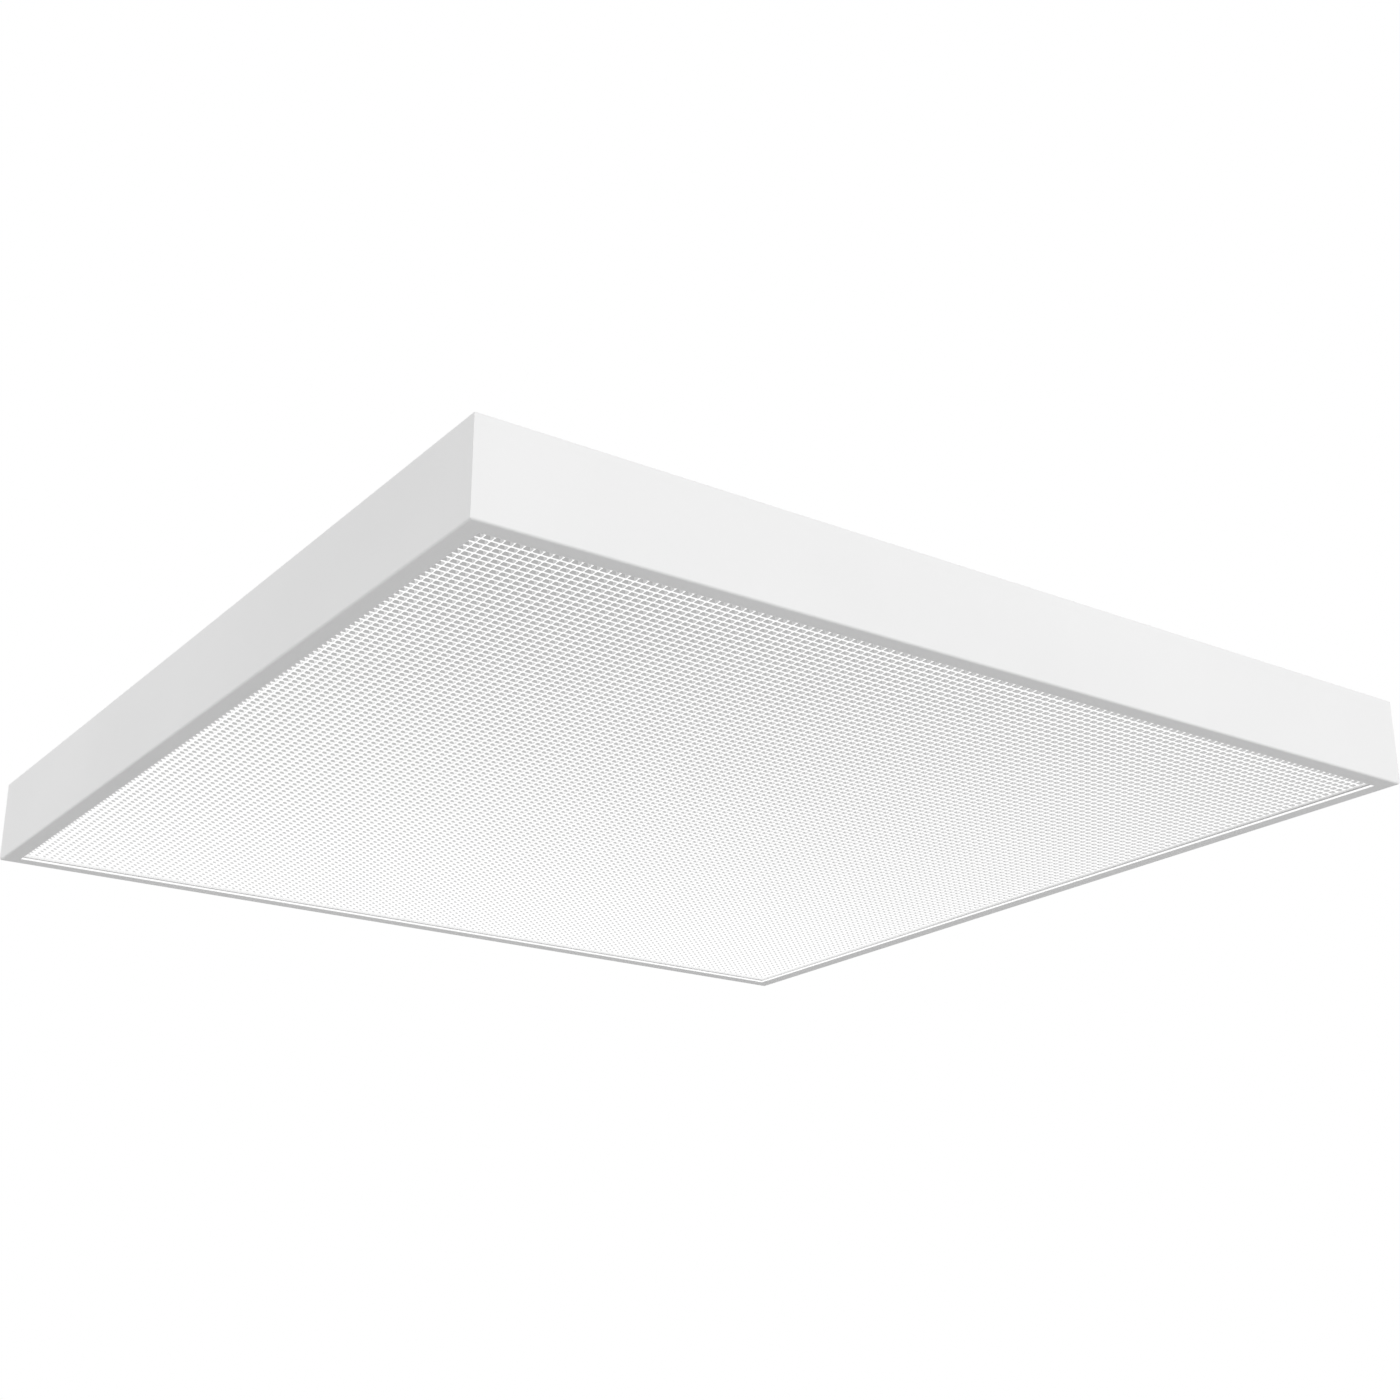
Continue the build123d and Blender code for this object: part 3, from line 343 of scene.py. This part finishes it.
def lens_pocket(name):
    """Pocket walls: painted light, white at the mouth, with a dark patch of painted shade whose place and
    depth change over the lens.
    """
    # painted shade: the pockets are the lands' acrylic, given a darker grey base colour than the lands'
    # 0.90
    material, tree, shader = lens_plastic(name, (0.30, 0.30, 0.30), roughness=0.2)
    x, y, z = object_axes(tree, "Object")
    normal_x, normal_y, normal_z = object_axes(tree, "Normal")
    spot = over_lens(tree, x, y)
    depth = scaled(tree, z, (LENS_LOW[2], LENS_LOW[2] + POCKET_DEPTH), (0.0, POCKET_DEPTH / MM))

    along = along_wall(tree, x, 0, normal_y)
    sooner = math_node(tree, "MULTIPLY", depth, BACK_LEAN)
    start = math_node(tree, "SUBTRACT", graded(tree, spot, BACK_START), sooner)
    shorter = math_node(tree, "MULTIPLY", depth, graded(tree, spot, BACK_STOP))
    stop = math_node(tree, "SUBTRACT", 1.0, shorter)
    span = math_node(tree, "MULTIPLY", beyond(tree, along, start), beyond(tree, stop, along))
    inside = beyond(tree, depth, graded(tree, spot, BACK_RIM))
    # painted shade on a back wall: darker deep in the pocket, along part of the wall's length
    shade_patch = math_node(tree, "MULTIPLY", span, inside)
    back_glow = wall_glow(tree, graded(tree, spot, BACK_PAINTED_SHADE), shade_patch)

    along = along_wall(tree, y, 1, normal_x)
    inside = beyond(tree, depth, graded(tree, spot, SIDE_RIM))
    # painted shade on a side wall: darker deep in the pocket, towards one end of the wall
    shade_patch = math_node(tree, "MULTIPLY", beyond(tree, along, SIDE_START), inside)
    side_glow = wall_glow(tree, graded(tree, spot, SIDE_PAINTED_SHADE), shade_patch)

    is_side = math_node(tree, "GREATER_THAN", math_node(tree, "ABSOLUTE", normal_x), CROSSWISE)
    is_floor = math_node(tree, "GREATER_THAN", math_node(tree, "ABSOLUTE", normal_z), CROSSWISE)
    walls = math_node(tree, "MAXIMUM", mixed(tree, is_side, back_glow, side_glow), 0.0)
    glow = mixed(tree, is_floor, walls, POCKET_FLOOR_GLOW)
    tree.links.new(glow, shader.inputs["Emission Strength"])
    return material


# ---------------------------------------------------------------- prismatic lens
def lens_lines(axis):
    """Grid lines across the lens: its edge, then both sides of each pocket, then its other edge."""
    lines = [LENS_LOW[axis]]
    for i in range(LENS_CELLS):
        first = LENS_START[axis] + i * LENS_PITCH
        lines += [first + LAND[axis], first + LENS_PITCH - LAND[axis]]
    return lines + [LENS_HIGH[axis]]


def in_pattern(polygon):
    """Whether a face lies inside the square of cells."""
    return all(LENS_START[axis] <= polygon.center[axis] <= LENS_END[axis] for axis in (0, 1))


def make_lens():
    """Moulded sheet with rows of square pockets in its lower side, and narrow lands between them."""
    low, high = LENS_LOW[2], LENS_HIGH[2]
    columns, rows = lens_lines(0), lens_lines(1)
    count = len(columns)
    vertices = [(x, y, low) for y in rows for x in columns]
    faces, pocket_faces = [], []
    for j in range(count - 1):
        for i in range(count - 1):
            corner = j * count + i
            ring = (corner, corner + count, corner + count + 1, corner + 1)
            # a pocket lies where an odd column crosses an odd row, and lands or border everywhere else
            if i % 2 == 0 or j % 2 == 0:
                faces.append(ring)
                continue
            deep = len(vertices)
            left, right = columns[i] + POCKET_DRAFT, columns[i + 1] - POCKET_DRAFT
            front, back = rows[j] + POCKET_DRAFT, rows[j + 1] - POCKET_DRAFT
            for x, y in ((left, front), (left, back), (right, back), (right, front)):
                vertices.append((x, y, low + POCKET_DEPTH))
            pocket_faces.append((deep, deep + 1, deep + 2, deep + 3))
            for k in range(4):
                n = (k + 1) % 4
                pocket_faces.append((ring[k], ring[n], deep + n, deep + k))
    lower_count = len(faces)
    top = len(vertices)
    left, right, front, back = columns[0], columns[-1], rows[0], rows[-1]
    vertices += [(left, front, high), (right, front, high), (right, back, high), (left, back, high)]
    faces.append((top, top + 1, top + 2, top + 3))
    rim = [
        list(range(count)),
        [k * count + count - 1 for k in range(count)],
        [count * count - 1 - k for k in range(count)],
        [(count - 1 - k) * count for k in range(count)],
    ]
    for side, edge in enumerate(rim):
        faces.append(edge + [top + (side + 1) % 4, top + side])
    mesh = bpy.data.meshes.new("prismatic_lens_moulded")
    mesh.from_pydata(vertices, [], faces + pocket_faces)
    for make in (lens_land, lens_pocket, lens_margin):
        mesh.materials.append(make(make.__name__))
    land, pocket, margin = range(3)
    for polygon in mesh.polygons:
        if polygon.index >= len(faces):
            polygon.material_index = pocket
        elif polygon.index < lower_count and in_pattern(polygon):
            polygon.material_index = land
        else:
            polygon.material_index = margin
    lens = bpy.data.objects.new("prismatic_lens_moulded", mesh)
    bpy.context.scene.collection.objects.link(lens)
    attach(lens, "housing")
    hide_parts("prismatic_lens")


# ---------------------------------------------------------------- pieces carried over from the solids
def ease_edges(piece):
    """Small rounding on the sharp edges, so that they catch the light."""
    for start, width in BEVELS.items():
        if piece.name.startswith(start):
            bevel = piece.modifiers.new("eased_edges", "BEVEL")
            bevel.width = width * MM
            bevel.segments = 2
            bevel.limit_method = "ANGLE"
            bevel.angle_limit = BEVEL_ANGLE
            bevel.harden_normals = False


def dress_nodes():
    """Give every carried-over piece the material of its slot."""
    for part in frame["record"]["subparts"]:
        piece = nodes[part["node"]]
        piece.data.materials.clear()
        piece.data.materials.append(materials[part["material_slot"]])
        ease_edges(piece)


# ---------------------------------------------------------------- camera, backdrop, floor and lamps
def aim(thing, place, target):
    """Put a camera or lamp at a place and turn it to a target."""
    thing.location = place
    thing.rotation_mode = "QUATERNION"
    thing.rotation_quaternion = (Vector(target) - Vector(place)).to_track_quat("-Z", "Y")


def make_camera():
    """Camera of the photograph: below the left front corner, with a slight roll."""
    data = bpy.data.cameras.new("camera")
    data.lens = CAMERA_LENS
    data.sensor_width = SENSOR_WIDTH
    camera = bpy.data.objects.new("camera", data)
    bpy.context.scene.collection.objects.link(camera)
    aim(camera, CAMERA_PLACE, CAMERA_TARGET)
    camera.rotation_quaternion = camera.rotation_quaternion @ Quaternion((0, 0, 1), CAMERA_ROLL)
    bpy.context.scene.camera = camera


def seen_directly(tree):
    """1 for rays from the camera, and for mirrored and refracted ones."""
    path = tree.nodes.new("ShaderNodeLightPath")
    total = path.outputs["Is Camera Ray"]
    for name in ("Is Glossy Ray", "Is Transmission Ray"):
        total = math_node(tree, "MAXIMUM", total, path.outputs[name])
    return total


def make_world():
    """White backdrop, and a plain even light from all round."""
    world = bpy.data.worlds.new("world")
    bpy.context.scene.world = world
    world.use_nodes = True
    tree = world.node_tree
    light = tree.nodes["Background"]
    backdrop = tree.nodes.new("ShaderNodeBackground")
    for background, strength in ((light, AMBIENT_LIGHT), (backdrop, 1.0)):
        background.inputs["Color"].default_value = WHITE
        background.inputs["Strength"].default_value = strength
    mix = tree.nodes.new("ShaderNodeMixShader")
    tree.links.new(seen_directly(tree), mix.inputs["Fac"])
    tree.links.new(light.outputs["Background"], mix.inputs[1])
    tree.links.new(backdrop.outputs["Background"], mix.inputs[2])
    tree.links.new(mix.outputs["Shader"], tree.nodes["World Output"].inputs["Surface"])


def show_white(tree, shader):
    """Pale floor for the light, plain white in the picture."""
    path = tree.nodes.new("ShaderNodeLightPath")
    white = tree.nodes.new("ShaderNodeEmission")
    white.inputs["Strength"].default_value = 1.0
    mix = tree.nodes.new("ShaderNodeMixShader")
    tree.links.new(path.outputs["Is Camera Ray"], mix.inputs["Fac"])
    tree.links.new(shader.outputs["BSDF"], mix.inputs[1])
    tree.links.new(white.outputs["Emission"], mix.inputs[2])
    tree.links.new(mix.outputs["Shader"], tree.nodes["Material Output"].inputs["Surface"])


def make_floor():
    """Floor well below the luminaire."""
    mesh = bpy.data.meshes.new("floor")
    signs = ((-1, -1), (1, -1), (1, 1), (-1, 1))
    corners = [(x * FLOOR_HALF, y * FLOOR_HALF, -FLOOR_DROP) for x, y in signs]
    mesh.from_pydata(corners, [], [(0, 1, 2, 3)])
    floor = bpy.data.objects.new("floor", mesh)
    bpy.context.scene.collection.objects.link(floor)
    material, tree, shader = new_material("floor", roughness=0.9)
    speckle = texture(tree, "ShaderNodeTexNoise", scale=3.0)
    tint(tree, shader, speckle.outputs["Fac"], [(0.3, (0.80, 0.80, 0.80)), (0.7, (0.82, 0.82, 0.82))])
    show_white(tree, shader)
    floor.data.materials.append(material)


def make_lamp(name, place, power):
    """Large soft area lamp that points at the luminaire."""
    data = bpy.data.lights.new(name, "AREA")
    data.size = LAMP_SIZE
    data.energy = power
    lamp = bpy.data.objects.new(name, data)
    bpy.context.scene.collection.objects.link(lamp)
    aim(lamp, place, (0, 0, 0))


dress_nodes()
make_lens()
bpy.context.scene.view_settings.view_transform = "Standard"
make_world()
make_floor()
for name, (place, power) in LAMPS.items():
    make_lamp(name, place, power)
make_camera()
